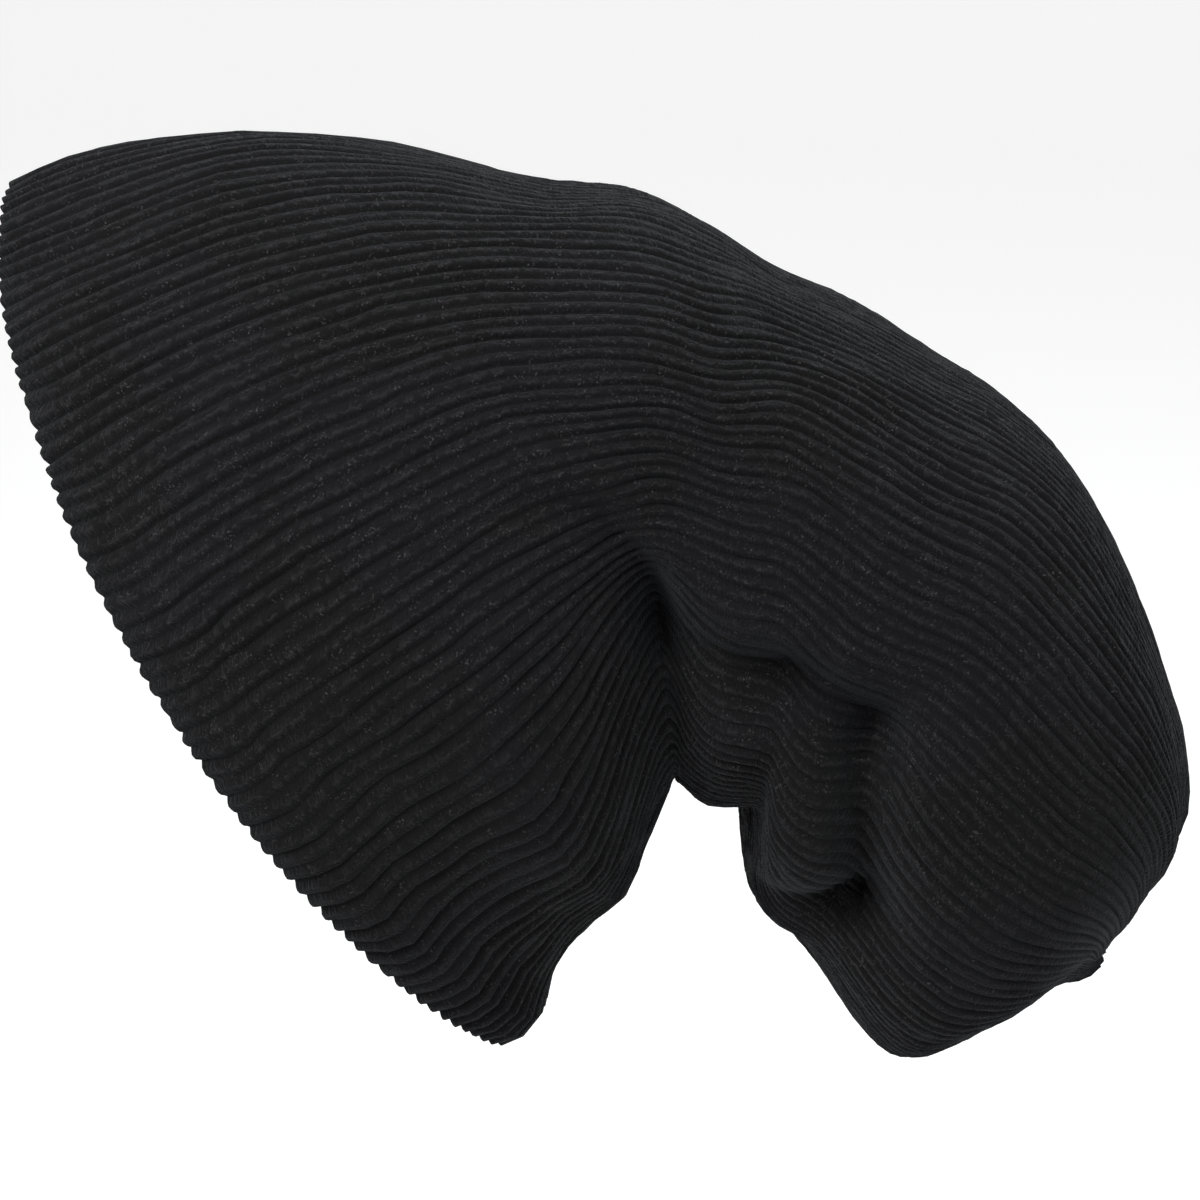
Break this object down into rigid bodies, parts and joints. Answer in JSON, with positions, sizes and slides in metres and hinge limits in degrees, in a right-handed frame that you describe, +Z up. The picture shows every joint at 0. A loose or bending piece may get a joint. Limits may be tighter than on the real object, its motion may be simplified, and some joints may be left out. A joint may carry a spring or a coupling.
{
  "type": "slouchy beanie",
  "caption": "Slouchy rib-knit beanie with no cuff, held open at the rim as a head holds it, its long crown folded down behind and gathered shut.",
  "frame": {"origin": "the middle of the rim, where the head goes in", "axes": "+Z up as worn, -X towards the front of the hat where the wearer faces, +Y to the wearer's right; the rim leans so that its front edge is high and its nape edge is low"},
  "size_m": [0.2331, 0.1799, 0.1861],
  "materials": {
    "black_rib_knit": "matte ribbed knit",
    "black_yarn": "matte yarn"
  },
  "bodies": {
    "root": {"knit_shell": "black_rib_knit", "crown_knot": "black_yarn"}
  },
  "joints": []
}
